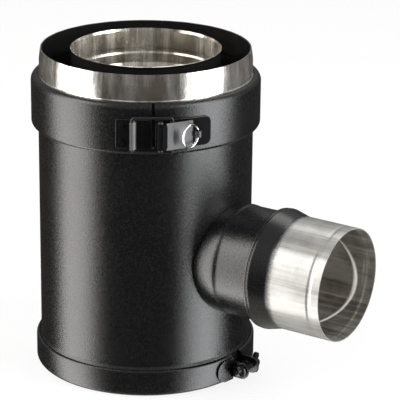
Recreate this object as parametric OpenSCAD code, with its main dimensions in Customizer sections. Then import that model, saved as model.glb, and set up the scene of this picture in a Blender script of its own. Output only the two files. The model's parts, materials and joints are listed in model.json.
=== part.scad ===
// Double-wall stove pipe tee: a painted steel casing round a stainless flue liner, with a
// reduced side branch, a draw-latch band at the top joint and a screwed clamp round the cap.
// The tee stands on its cap. +Z is the flue axis, +X is the branch axis, z = 0 is the floor.

/* [Casing] */
// Height from the floor to the rim of the top collar
overall_h = 230; // [215:1:300]
// Outside diameter of the casing
casing_d = 150; // [142:1:170]
// Sheet thickness of the casing
casing_wall = 0.8; // [0.6:0.1:1]
// How far the swaged ends stand proud of the casing
swage_step = 1.2; // [0.8:0.1:1.6]
// Height of the sloping part of each swage
swage_h = 1.8; // [1:0.2:3]

/* [Top collar] */
// Height of the collar that shows above the band
collar_h = 18; // [14:1:24]
// Sheet thickness of the collar
collar_wall = 0.8; // [0.6:0.1:1]
// How far the exposed collar is stepped in from the casing's radius
collar_step = 0.9; // [0.7:0.1:1.2]
// How far the collar's rim is turned in
collar_turn_in = 1; // [0.6:0.1:2]
// Height of the turned-in part of the rim
collar_turn_h = 8; // [4:1:12]

/* [Upper band] */
// Height of the upper locking band
upper_band_h = 35.5; // [33:0.5:40]
// Sheet thickness of both bands
band_t = 1; // [0.8:0.1:1.2]
// Width of the flanges that the upper band grips
upper_flange_w = 2.2; // [1.6:0.1:2.6]
// Radius of the upper band's rounded shoulders
upper_shoulder_r = 4.6; // [3:0.2:5]
// Width of the split in the upper band
upper_split = 1.8; // [1:0.2:3]

/* [Lower band] */
// Height of the lower clamp band
lower_band_h = 19; // [17:0.5:22]
// Width of the flanges that the lower band grips
lower_flange_w = 1.1; // [0.8:0.1:1.4]
// Radius of the lower band's rounded shoulders
lower_shoulder_r = 2.8; // [2:0.2:3.2]
// Height of the joint between casing and cap
cap_joint_z = 8.6; // [7.5:0.1:10]
// Width of the gap between the lower band's ends
lower_gap = 10.4; // [9:0.2:12]

/* [Liner] */
// Bore of the flue liner
liner_bore = 100; // [96:1:110]
// Sheet thickness of the liner, its socket and the branch liner
liner_wall = 0.6; // [0.5:0.1:0.8]
// Bore of the socket that takes the next pipe
socket_bore = 102.6; // [102.2:0.1:103.4]
// Depth of the socket
socket_depth = 25; // [20:1:30]
// Depth of the gasket bead below the socket's mouth
bead_depth = 16; // [12:1:18]
// How far the gasket bead bulges out
bead_out = 0.9; // [0.5:0.1:1.2]
// How far the socket's lip is flared
lip_flare = 0.5; // [0.2:0.1:1]
// Drop of the liner's rim below the collar's rim
liner_drop = 0.5; // [0:0.1:3]
// Height of the liner's lower end above the floor
liner_bottom_z = 14; // [12:1:20]

/* [Branch] */
// Height of the branch axis
branch_z = 90.5; // [80:0.5:100]
// Distance from the flue axis to the branch's mouth
branch_reach = 165.7; // [150:0.5:190]
// Outside diameter of the painted neck
neck_d = 77.4; // [72:0.2:80]
// How far the neck draws in, in radius, where it first meets the casing
neck_root_in = 2.1; // [1.5:0.1:4]
// How far the bead between root and sleeve stands proud of the neck
neck_bead = 0.5; // [0.2:0.1:1]
// Distance from the flue axis to the neck's bead
neck_bead_at = 82; // [81:0.5:85]
// Distance from the flue axis to the end of the neck sleeve
neck_end = 117; // [114:0.5:120]
// Outside diameter of the spigot
spigot_d = 78.4; // [74:0.2:80]
// Sheet thickness of the spigot
spigot_wall = 0.7; // [0.5:0.1:0.9]
// How far the spigot's bell stands proud of the neck
bell_rise = 3.6; // [2.8:0.1:4.6]
// Distance from the flue axis to the start of the bell
bell_start = 109; // [107:0.5:111]
// Length of the bell's full width
bell_flat = 3; // [2:0.5:5]
// Length of the cone between bell and spigot
bell_cone = 11.5; // [9:0.5:14]
// Radius of the round shoulder between the bell's full width and its cone
bell_round = 8; // [4:0.5:12]
// Distance of the stiffening groove from the spigot's mouth
spigot_groove_back = 7.5; // [5:0.5:10]
// Depth of the stiffening groove
spigot_groove_depth = 0.5; // [0.3:0.1:0.8]
// Gap between the branch liner and the hole in the casing
branch_liner_gap = 0.1; // [0.1:0.1:2]
// Distance from the flue axis to the end of the branch liner
branch_liner_end = 118; // [112:0.5:126]

/* [Draw latch] */
// Direction of the split, counted from the branch
latch_azimuth = -51.3; // [-70:0.5:-45]
// Depth of the latch's middle below the collar's rim
latch_drop = 38.5; // [36.5:0.5:40.5]
// Height of the lever
lever_h = 18.8; // [17:0.2:20]
// Length from the lever's hinge pin to its free edge
lever_len = 22.8; // [21:0.2:24]
// Sheet thickness of the lever
lever_t = 1.2; // [1:0.1:1.4]
// Height of the hinge pin above the latch base
pin_rise = 5; // [4:0.1:5.2]
// Diameter of the wire bail
bail_wire_d = 1.8; // [1.6:0.1:2]
// Height between the bail's two long sides
bail_h = 23.8; // [23:0.2:25]
// Sheet thickness of the strike plate and the latch base
plate_t = 1.2; // [1:0.1:1.4]
// Height of the latch base and the strike plate
plate_h = 20; // [19:0.5:22]
// Diameter of the hinge pin
lever_pin_d = 2.4; // [2:0.1:2.6]
// Outside diameter of the split ring
ring_d = 16.5; // [15:0.5:18]
// Diameter of the split ring's wire
ring_wire_d = 1; // [0.8:0.1:1.1]
// Lean of the split ring off the lever's face
ring_lean = 36; // [20:1:50]

/* [Clamp closure] */
// Direction of the clamp's closure, counted from the branch
clamp_azimuth = 0; // [-8:1:8]
// Distance from the flue axis to the clamp screw
screw_out = 87; // [86.6:0.1:90]
// Diameter of the clamp screw's shank
screw_d = 5; // [4:0.2:5.2]
// Diameter of the clamp screw's head
screw_head_d = 9.2; // [8.4:0.2:9.6]
// Height of the clamp screw's head
screw_head_h = 3.2; // [2.4:0.2:3.6]
// Distance between the two ears
ear_gap = 11.6; // [10.8:0.2:13]
// Sheet thickness of the lugs
lug_t = 1.4; // [1.2:0.1:1.6]
// Radius of the ears
ear_r = 6; // [5.4:0.2:6.4]
// Span of the wing nut
wing_span = 15; // [13:0.5:15.2]

/* [Inside] */
// Width of each spacer between liner and casing
spacer_w = 12; // [8:1:16]
// Height of each spacer
spacer_h = 10; // [8:1:14]
// Sheet thickness of the spacers
spacer_t = 0.8; // [0.6:0.1:1]
// Height of the cap's inner cup above the floor
cup_top_z = 34; // [28:1:40]
// How far the middle of the cap is dished up
cap_dish = 2.5; // [1.5:0.1:3]

/* [Hidden] */
$fn = 96;
eps = 0.01;

// Clearances
slip = 0.1;
running = 0.05;
loose = 0.3;

// Radii of the casing and its ends
casing_r = casing_d / 2;
casing_in_r = casing_r - casing_wall;
swage_r = casing_r + swage_step;
upper_flange_r = swage_r + upper_flange_w;
lower_flange_r = swage_r + lower_flange_w;
collar_r = casing_r - collar_step;

// Radii of the bands
upper_band_clear = 0.5;
lower_band_clear = 0.1;
upper_band_r = upper_flange_r + upper_band_clear + band_t;
lower_band_r = lower_flange_r + lower_band_clear + band_t;
upper_lip_r = casing_r + loose;
lower_lip_r = swage_r + loose;

// Heights
upper_band_top = overall_h - collar_h;
upper_band_bottom = upper_band_top - upper_band_h;
upper_joint_z = upper_band_bottom + upper_band_h / 2;
lower_band_bottom = 0.5;
lower_band_top = lower_band_bottom + lower_band_h;
liner_top = overall_h - liner_drop;
latch_z = overall_h - latch_drop;

// Liner radii
liner_in_r = liner_bore / 2;
liner_out_r = liner_in_r + liner_wall;
socket_in_r = socket_bore / 2;
socket_out_r = socket_in_r + liner_wall;
shoulder_z = liner_top - socket_depth;
bead_z = liner_top - bead_depth;
bead_half = 2;

// Branch radii
neck_r = neck_d / 2;
neck_root_r = neck_r - neck_root_in;
neck_hole_r = neck_root_r - casing_wall;
root_start = casing_r * 0.8;
spigot_r = spigot_d / 2;
bell_r = neck_r + bell_rise;
branch_liner_r = neck_hole_r - branch_liner_gap;
branch_liner_in_r = branch_liner_r - liner_wall;

// Latch, seen from above: out is the distance along the latch's own radius and
// side is the distance to the branch's side of it
lever_azimuth = latch_azimuth + 10;
plate_r = upper_band_r + plate_t;
knuckle_r = 2.6;
pin_side = -lever_len / 2 + 0.7;
pin_out = plate_r + pin_rise;
lever_lean = asin(pin_rise / lever_len);
lever_face = pin_out + knuckle_r;
lever_under = lever_face - lever_t;
lever_end_side = pin_side + lever_len;
bail_r = bail_wire_d / 2;
bail_side = pin_side + 8.6;
bail_out = lever_under - bail_r - slip;
bail_place = leaned(bail_out, bail_side);
hook_angle = -20;
hook_room = 1.15;
hook_in_r = bail_r + hook_room;
hook_t = 1;
hook_at_r = plate_r + hook_in_r + 0.25;
hook_side = hook_at_r * sin(hook_angle);
hook_out = hook_at_r * cos(hook_angle);
hook_h = 19;
bail_reach = norm([bail_place[1] - hook_side, bail_place[0] - hook_out]);
bail_tilt = atan2(bail_place[0] - hook_out, bail_place[1] - hook_side);
cheek_t = 1;
cheek_r = 1.9;
ear_plate_t = 1;
lever_ear_z = lever_h / 2 - 1.2;
eye_r = 2.5;
eye_bore_r = 1.6;
eye_h = 4.4;
eye_side = lever_end_side + eye_r + 0.4;
eye_out = lever_under + eye_r;
eye_place = leaned(eye_out, eye_side);
ring_mean_r = (ring_d - ring_wire_d) / 2;
rivet_r = 1.6;
rivet_head_r = 2.4;
rivet_head_h = 1;

// Clamp closure
screw_z = lower_band_bottom + lower_band_h / 2;
lug_foot_r = lower_band_r + slip / 2;
lug_foot_len = 15;
lug_foot_h = lower_band_h - 2.4;
nut_bore_r = screw_d / 2 + running;
washer_t = 1;
washer_r = 4.8;
nut_hub_r = 4.2;
nut_hub_h = 4;
wing_t = 2.2;
wing_r = 2.6;

// Points of an arc about [x, y], from angle a0 to a1
function arc(x, y, r, a0, a1, steps = 8) =
    [for (i = [0 : steps]) let (a = a0 + (a1 - a0) * i / steps) [x + r * cos(a), y + r * sin(a)]];

// A place on the closed lever as [out, side], from its place before the lever leans
function leaned(out, side) = [
    pin_out + (out - pin_out) * cos(lever_lean) - (side - pin_side) * sin(lever_lean),
    pin_side + (out - pin_out) * sin(lever_lean) + (side - pin_side) * cos(lever_lean)];

// A list in the opposite order
function reversed(list) = [for (i = [len(list) - 1 : -1 : 0]) list[i]];

// A sheet wall revolved about Z: the outer face as [radius, height] points, t thick inwards
module wall_of(path, t) {
    rotate_extrude()
        polygon(concat(path, reversed([for (p = path) [p[0] - t, p[1]]])));
}

// A flat ring between two radii
module flat_ring(r_in, r_out, z, t) {
    translate([0, 0, z])
        difference() {
            cylinder(r = r_out, h = t);
            translate([0, 0, -eps]) cylinder(r = r_in, h = t + 2 * eps);
        }
}

// A tube along +X from x0 to x1 at the height of the branch
module branch_tube(r_out, r_in, x0, x1) {
    translate([x0, 0, branch_z])
        rotate([0, 90, 0])
            difference() {
                cylinder(r = r_out, h = x1 - x0);
                translate([0, 0, -eps]) cylinder(r = r_in, h = x1 - x0 + 2 * eps);
            }
}

// A round bar along +X from x0 to x1 at the height of the branch
module branch_core(r, x0, x1) {
    translate([x0, 0, branch_z]) rotate([0, 90, 0]) cylinder(r = r, h = x1 - x0);
}

// Turns its children so that +X points along an azimuth and +Y to the branch's side
module at_azimuth(a) {
    rotate([0, 0, a]) children();
}

// A bar along Z, z0 to z1, at [out, side]
module post(out, side, r, z0, z1) {
    translate([out, side, z0]) cylinder(r = r, h = z1 - z0, $fn = 48);
}

// A curved plate on a cylinder, between two azimuths
module arc_plate(r_in, t, a0, a1, z0, z1) {
    rotate([0, 0, a0])
        rotate_extrude(angle = a1 - a0)
            translate([r_in, z0]) square([t, z1 - z0]);
}

// A rectangle with rounded corners, centred
module rounded_rect(w, h, r) {
    x = w / 2 - r;
    y = h / 2 - r;
    polygon(concat(arc(x, y, r, 0, 90), arc(-x, y, r, 90, 180),
        arc(-x, -y, r, 180, 270), arc(x, -y, r, 270, 360)));
}

// A prism through the pipe's wall, its outline drawn in side and height
module radial_prism(out0, out1) {
    translate([out0, 0, 0])
        rotate([90, 0, 90]) linear_extrude(height = out1 - out0) children();
}

// Outline of a C-shaped band: full height, two round shoulders and lips turned in
module band_profile(r, t, z0, z1, low, high, lip_low, lip_high) {
    outer = concat(
        [[lip_low, z0]],
        arc(r - low, z0 + low, low, -90, 0, 6),
        arc(r - high, z1 - high, high, 0, 90, 6),
        [[lip_high, z1]]);
    inner = concat(
        [[lip_high, z1 - t]],
        arc(r - high, z1 - high, high - t, 90, 0, 6),
        arc(r - low, z0 + low, low - t, 0, -90, 6),
        [[lip_low, z0 + t]]);
    polygon(concat(outer, inner));
}

// The casing: a rolled tube, swaged and flanged at both ends, with a round hole for the branch
module outer_casing() {
    color([0.09, 0.09, 0.1])
    difference() {
        union() {
            wall_of([
                [swage_r, cap_joint_z],
                [swage_r, lower_band_top],
                [casing_r, lower_band_top + swage_h],
                [casing_r, upper_band_bottom + 3],
                [swage_r, upper_band_bottom + 3 + swage_h],
                [swage_r, upper_joint_z]], casing_wall);
            flat_ring(swage_r - casing_wall, lower_flange_r, cap_joint_z, casing_wall);
            flat_ring(swage_r - casing_wall, upper_flange_r, upper_joint_z - casing_wall, casing_wall);
        }
        branch_core(neck_hole_r, 0, swage_r);
    }
}

// The stainless collar that the next casing pushes over, flanged where the upper band holds it
module top_collar() {
    color([0.78, 0.76, 0.72])
    union() {
        wall_of([
            [casing_r, upper_joint_z],
            [casing_r, upper_band_top - 0.5],
            [collar_r, upper_band_top + 0.5],
            [collar_r, overall_h - collar_turn_h],
            [collar_r - collar_turn_in * 0.35, overall_h - collar_turn_h / 2],
            [collar_r - collar_turn_in, overall_h]], collar_wall);
        flat_ring(casing_r - collar_wall, upper_flange_r, upper_joint_z, collar_wall);
    }
}

// The flue liner: a plain tube expanded into a socket, with a gasket bead and a flared lip
module liner() {
    color([0.72, 0.7, 0.66])
    difference() {
        wall_of(concat(
            [[liner_out_r, liner_bottom_z]],
            [[liner_out_r, shoulder_z - 2]],
            [[socket_out_r, shoulder_z]],
            [[socket_out_r, bead_z - bead_half]],
            [[socket_out_r + bead_out, bead_z - bead_half / 2]],
            [[socket_out_r + bead_out, bead_z + bead_half / 2]],
            [[socket_out_r, bead_z + bead_half]],
            [[socket_out_r, liner_top - 1.5]],
            [[socket_out_r + lip_flare, liner_top]]), liner_wall);
        branch_core(branch_liner_in_r, 0, casing_r);
    }
}

// The inner branch tube, welded to the liner and ending inside the spigot
module branch_liner() {
    color([0.7, 0.68, 0.64])
    difference() {
        branch_tube(branch_liner_r, branch_liner_in_r, 0, branch_liner_end);
        translate([0, 0, branch_z - neck_d]) cylinder(r = liner_out_r + eps, h = 2 * neck_d);
    }
}

// The painted neck: a sleeve with a shallow bead and a root that narrows down onto the casing,
// trimmed to its round and welded on
module branch_neck() {
    bead_r = neck_r + neck_bead;
    near_x = sqrt(casing_r * casing_r - neck_root_r * neck_root_r);
    rise = bead_r - neck_root_r;
    run = neck_bead_at - near_x;
    color([0.1, 0.1, 0.11])
    difference() {
        translate([0, 0, branch_z])
            rotate([0, 90, 0])
                wall_of([
                    [neck_root_r - (near_x - root_start) * 2 * rise / run * 0.9, root_start],
                    [neck_root_r, near_x],
                    [neck_root_r + rise * 0.45, near_x + run * 0.27],
                    [neck_root_r + rise * 0.77, near_x + run * 0.55],
                    [neck_root_r + rise * 0.95, near_x + run * 0.8],
                    [bead_r, neck_bead_at],
                    [bead_r - neck_bead * 0.2, neck_bead_at + 1],
                    [neck_r + neck_bead * 0.2, neck_bead_at + 2.5],
                    [neck_r, neck_bead_at + 4],
                    [neck_r, neck_end]], casing_wall);
        cylinder(r = casing_r + slip / 2, h = overall_h);
    }
}

// The stainless spigot, belled at its root to sit over the neck, with a groove near its mouth
module branch_spigot() {
    lip_r = neck_r + slip;
    corner = 1.2;
    bell_end = bell_start + bell_flat;
    groove_x = branch_reach - spigot_groove_back;
    color([0.74, 0.72, 0.68])
    translate([0, 0, branch_z])
        rotate([0, 90, 0])
            union() {
                wall_of(concat(
                    arc(bell_r - corner, bell_start + corner, corner, -90, 0, 5),
                    arc(bell_r - bell_round, bell_end, bell_round, 0, 15, 4),
                    [[spigot_r + 0.3, bell_end + bell_cone]],
                    [[spigot_r + 0.1, bell_end + bell_cone + 1.5]],
                    [[spigot_r, bell_end + bell_cone + 3]],
                    [[spigot_r, groove_x - 1.8]],
                    [[spigot_r - spigot_groove_depth, groove_x - 0.6]],
                    [[spigot_r - spigot_groove_depth, groove_x + 0.6]],
                    [[spigot_r, groove_x + 1.8]],
                    [[spigot_r, branch_reach]]), spigot_wall);
                flat_ring(lip_r, bell_r - corner, bell_start, spigot_wall);
            }
}

// One spacer: a radial web with a curved tab against each wall
module spacer(azimuth, r_in, r_out, z) {
    color([0.6, 0.59, 0.56])
    at_azimuth(azimuth) {
        tab_in = spacer_w / 2 / r_in * 180 / PI;
        tab_out = spacer_w / 2 / r_out * 180 / PI;
        translate([r_in + spacer_t / 2, -spacer_t / 2, z])
            cube([r_out - r_in - spacer_t, spacer_t, spacer_h]);
        arc_plate(r_in, spacer_t, 0, tab_in, z, z + spacer_h);
        arc_plate(r_out - spacer_t, spacer_t, -tab_out, 0, z, z + spacer_h);
    }
}

// Upper spacers stand between the liner and the collar, below the socket
module upper_spacer(i) {
    spacer(120 * i, liner_out_r + slip, casing_in_r - slip, shoulder_z - 3 - spacer_h);
}

// Lower spacers stand between the liner and the casing, between the upper ones
module lower_spacer(i) {
    spacer(120 * i + 60, liner_out_r + slip, casing_in_r - slip, lower_band_top + swage_h + 2);
}

// Places of the three rivets that join cup and pan
module on_cap_rivets() {
    for (i = [0 : 2]) at_azimuth(120 * i + 60) translate([liner_in_r * 0.6, 0, 0]) children();
}

// The outer cap: a shallow painted pan, flanged at the joint and dished up in the middle
module cap_pan() {
    corner = 2.2;
    dish_r = liner_out_r + 6;
    foot_in_r = dish_r + 3;
    color([0.09, 0.09, 0.1])
    difference() {
        union() {
            rotate_extrude()
                polygon(concat(
                    [[0, cap_dish], [dish_r, cap_dish], [foot_in_r, 0]],
                    arc(casing_r - corner, corner, corner, -90, 0, 6),
                    [[casing_r, cap_joint_z], [casing_in_r, cap_joint_z]],
                    arc(casing_r - corner, corner, corner - casing_wall, 0, -90, 6),
                    [[foot_in_r, casing_wall], [dish_r, cap_dish + casing_wall]],
                    [[0, cap_dish + casing_wall]]));
            flat_ring(casing_in_r, lower_flange_r, cap_joint_z - casing_wall, casing_wall);
        }
        on_cap_rivets() cylinder(r = rivet_r + slip, h = cup_top_z, $fn = 32);
    }
}

// The inner cap: a stainless cup that closes the liner's lower end
module cap_cup() {
    floor_z = cap_dish + casing_wall;
    cup_r = liner_in_r - loose;
    corner = 2;
    color([0.7, 0.68, 0.64])
    difference() {
        rotate_extrude()
            polygon(concat(
                [[0, floor_z]],
                arc(cup_r - corner, floor_z + corner, corner, -90, 0, 6),
                [[cup_r, cup_top_z], [cup_r - liner_wall, cup_top_z]],
                arc(cup_r - corner, floor_z + corner, corner - liner_wall, 0, -90, 6),
                [[0, floor_z + liner_wall]]));
        on_cap_rivets() cylinder(r = rivet_r + slip, h = cup_top_z, $fn = 32);
    }
}

// Three rivets through the cap's two skins
module cap_rivets() {
    skins = casing_wall + liner_wall;
    color([0.6, 0.59, 0.57])
    on_cap_rivets() {
        translate([0, 0, cap_dish]) cylinder(r = rivet_r, h = skins, $fn = 32);
        translate([0, 0, cap_dish + skins]) cylinder(r = rivet_head_r, h = rivet_head_h, $fn = 32);
        translate([0, 0, cap_dish - rivet_head_h / 2])
            cylinder(r = rivet_head_r, h = rivet_head_h / 2, $fn = 32);
    }
}

// The lower clamp: a narrow C-section band, open between its two lugs
module clamp_band() {
    color([0.1, 0.1, 0.11])
    difference() {
        rotate_extrude()
            band_profile(lower_band_r, band_t, lower_band_bottom, lower_band_top,
                lower_shoulder_r, lower_band_r - lower_lip_r - 0.2, casing_r + loose, lower_lip_r);
        at_azimuth(clamp_azimuth)
            translate([casing_r - 10, -lower_gap / 2, -eps])
                cube([20, lower_gap, lower_band_top + 1]);
    }
}

// One lug: a foot spot-welded to the band, bent out into an ear for the screw; +1 is the nut's side
module clamp_lug(way) {
    ear_side = ear_gap / 2;
    foot_angle = lug_foot_len / lug_foot_r * 180 / PI;
    start_angle = asin(ear_side / lug_foot_r);
    color([0.08, 0.08, 0.09])
    at_azimuth(clamp_azimuth)
        mirror([0, way > 0 ? 0 : 1, 0])
            difference() {
                union() {
                    intersection() {
                        arc_plate(lug_foot_r, lug_t, start_angle, start_angle + foot_angle, 0, lower_band_top);
                        radial_prism(casing_r - 12, screw_out)
                            translate([ear_side, screw_z]) {
                                translate([-1, -lug_foot_h / 2])
                                    square([lug_foot_len - lug_foot_h / 2 + 1, lug_foot_h]);
                                translate([lug_foot_len - lug_foot_h / 2, 0])
                                    circle(d = lug_foot_h, $fn = 48);
                            }
                    }
                    translate([0, ear_side, 0]) rotate([90, 0, 0]) mirror([0, 0, 1])
                        linear_extrude(height = lug_t) {
                            translate([screw_out, screw_z]) circle(r = ear_r);
                            translate([lug_foot_r + 0.2, screw_z - ear_r])
                                square([screw_out - lug_foot_r - 0.2, 2 * ear_r]);
                        }
                }
                translate([screw_out, 0, screw_z]) rotate([-90, 0, 0])
                    cylinder(r = screw_d / 2 + slip, h = ear_gap, $fn = 48);
            }
}

// The clamp screw, lying across both ears, with a cross recess in its pan head
module clamp_screw() {
    head_side = -ear_gap / 2 - lug_t;
    shank_len = ear_gap + 2 * lug_t + washer_t + nut_hub_h + 3;
    recess_w = 1.3;
    recess_depth = 1.8;
    dome = 1.1;
    color([0.2, 0.2, 0.2])
    at_azimuth(clamp_azimuth)
        translate([screw_out, head_side, screw_z]) rotate([-90, 0, 0]) {
            cylinder(d = screw_d, h = shank_len, $fn = 48);
            difference() {
                union() {
                    translate([0, 0, -screw_head_h + dome])
                        cylinder(d = screw_head_d, h = screw_head_h - dome, $fn = 64);
                    translate([0, 0, -screw_head_h])
                        cylinder(d1 = screw_head_d - 2 * dome, d2 = screw_head_d, h = dome, $fn = 64);
                }
                for (a = [45, 135])
                    rotate([0, 0, a]) translate([-screw_head_d * 0.31, -recess_w / 2, -screw_head_h - eps])
                        cube([screw_head_d * 0.62, recess_w, recess_depth]);
            }
        }
}

// The plain washer under the wing nut
module clamp_washer() {
    color([0.25, 0.25, 0.25])
    at_azimuth(clamp_azimuth)
        translate([screw_out, ear_gap / 2 + lug_t, screw_z]) rotate([-90, 0, 0])
            difference() {
                cylinder(r = washer_r, h = washer_t, $fn = 64);
                translate([0, 0, -eps]) cylinder(r = nut_bore_r + slip, h = washer_t + 2 * eps, $fn = 48);
            }
}

// The wing nut that draws the clamp together: a hub with two rounded wings
module wing_nut() {
    nut_side = ear_gap / 2 + lug_t + washer_t + running;
    color([0.16, 0.16, 0.17])
    at_azimuth(clamp_azimuth)
        translate([screw_out, nut_side, screw_z]) rotate([-90, 0, 0])
            difference() {
                union() {
                    cylinder(r1 = nut_hub_r, r2 = nut_hub_r - 0.8, h = nut_hub_h, $fn = 64);
                    for (s = [-1, 1])
                        translate([-wing_t / 2, 0, 0])
                            rotate([90, 0, 90]) linear_extrude(height = wing_t) {
                                translate([s * (wing_span / 2 - wing_r), nut_hub_h]) circle(r = wing_r, $fn = 48);
                                translate([s > 0 ? 0 : -wing_span / 2 + wing_r, 1])
                                    square([wing_span / 2 - wing_r, nut_hub_h - 1]);
                            }
                }
                translate([0, 0, -eps]) cylinder(r = nut_bore_r, h = nut_hub_h + wing_r + 1, $fn = 48);
            }
}

// The upper locking band: a wide C-section with round shoulders, split behind the latch
module locking_band() {
    color([0.1, 0.1, 0.11])
    difference() {
        rotate_extrude()
            band_profile(upper_band_r, band_t, upper_band_bottom, upper_band_top,
                3, upper_shoulder_r, swage_r + loose, upper_lip_r);
        at_azimuth(latch_azimuth)
            translate([casing_r - 10, -upper_split / 2, upper_band_bottom - 1])
                cube([20, upper_split, upper_band_h + 2]);
        on_strike_rivets() radial_hole();
        on_base_rivets() radial_hole();
    }
}

// A hole for a rivet, along +X
module radial_hole() {
    rotate([0, 90, 0]) cylinder(r = rivet_r + slip, h = 12, center = true, $fn = 32);
}

// One rivet along +X: a shank flush inside the band and a low head on the plate
module radial_rivet() {
    depth = plate_t + band_t - 0.05;
    rotate([0, 90, 0]) {
        translate([0, 0, -depth]) cylinder(r = rivet_r, h = depth + 0.1, $fn = 32);
        cylinder(r1 = rivet_head_r, r2 = rivet_head_r * 0.7, h = rivet_head_h, $fn = 32);
    }
}

// Places of the strike plate's two rivets, on the plate's outer face
module on_strike_rivets() {
    for (s = [-1, 1])
        at_azimuth(latch_azimuth - 15)
            translate([plate_r, 0, latch_z + s * plate_h * 0.28]) children();
}

// Places of the latch base's two rivets, on the plate's outer face
module on_base_rivets() {
    for (a = [11.5, 23.2])
        at_azimuth(latch_azimuth + a) translate([plate_r, 0, latch_z]) children();
}

// The strike plate: a curved plate with the hook for the bail lanced out of its window
module strike_plate() {
    plate_a0 = -18;
    plate_a1 = -0.9;
    window_w = 11.6;
    color([0.07, 0.07, 0.08])
    at_azimuth(latch_azimuth)
        union() {
            difference() {
                intersection() {
                    arc_plate(upper_band_r + 0.05, plate_t - 0.05, plate_a0, plate_a1,
                        latch_z - plate_h / 2, latch_z + plate_h / 2);
                    rotate([0, 0, (plate_a0 + plate_a1) / 2])
                        radial_prism(casing_r - 10, plate_r + 1)
                            translate([0, latch_z])
                                rounded_rect((plate_a1 - plate_a0) * plate_r * PI / 180 - 0.4, plate_h, 1.5);
                }
                rotate([0, 0, -5])
                    radial_prism(casing_r - 10, plate_r + 1)
                        translate([-window_w / 2 + 2.2, latch_z - hook_h / 2 + 2])
                            square([window_w - 3.2, hook_h - 4]);
                rotate([0, 0, -latch_azimuth]) on_strike_rivets() radial_hole();
            }
            rotate([0, 0, lever_azimuth - latch_azimuth + hook_angle])
                translate([hook_at_r, 0, latch_z - hook_h / 2]) hook_curl();
        }
}

// The curled lip that holds the bail, rising from the plate on the lever's side
module hook_curl() {
    linear_extrude(height = hook_h) {
        polygon(concat(
            arc(0, 0, hook_in_r + hook_t, 150, -18, 12),
            arc(0, 0, hook_in_r, -18, 150, 12)) );
        polygon([
            [-hook_in_r - 0.45, hook_in_r - 0.6], [0, hook_in_r], [0, hook_in_r + hook_t],
            [-hook_in_r - 0.45, hook_in_r + hook_t]]);
    }
}

// Rivets of the strike plate
module strike_rivets() {
    color([0.3, 0.3, 0.31]) on_strike_rivets() radial_rivet();
}

// The latch base: a curved plate with two ears for the hinge pin
module latch_base() {
    base_a0 = 0.9;
    base_a1 = 29;
    color([0.05, 0.05, 0.06])
    difference() {
        union() {
            at_azimuth(latch_azimuth)
                intersection() {
                    arc_plate(upper_band_r + 0.05, plate_t - 0.05, base_a0, base_a1,
                        latch_z - plate_h / 2, latch_z + plate_h / 2);
                    rotate([0, 0, (base_a0 + base_a1) / 2])
                        radial_prism(casing_r - 10, plate_r + 1)
                            translate([0, latch_z])
                                rounded_rect((base_a1 - base_a0) * plate_r * PI / 180 - 0.9, plate_h, 4);
                }
            at_azimuth(lever_azimuth)
                for (s = [-1, 1])
                    translate([0, 0, latch_z + s * (lever_ear_z + ear_plate_t / 2) - ear_plate_t / 2]) {
                        post(pin_out, pin_side, knuckle_r, 0, ear_plate_t);
                        translate([plate_r - 1.4, pin_side - knuckle_r, 0])
                            cube([pin_out - plate_r + 1.4, 2 * knuckle_r, ear_plate_t]);
                    }
        }
        at_azimuth(lever_azimuth)
            post(pin_out, pin_side, lever_pin_d / 2 + running, latch_z - plate_h, latch_z + plate_h);
        on_base_rivets() radial_hole();
    }
}

// Rivets of the latch base
module latch_base_rivets() {
    color([0.3, 0.3, 0.31]) on_base_rivets() radial_rivet();
}

// The hinge pin through both ears and the lever's rolled edge
module lever_pin() {
    half = lever_ear_z + ear_plate_t;
    color([0.45, 0.45, 0.46])
    at_azimuth(lever_azimuth) {
        post(pin_out, pin_side, lever_pin_d / 2, latch_z - half, latch_z + half);
        for (s = [-1, 1])
            post(pin_out, pin_side, lever_pin_d / 2 + 0.6,
                latch_z + s * (half + 0.4) - 0.4, latch_z + s * (half + 0.4) + 0.4);
    }
}

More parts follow.
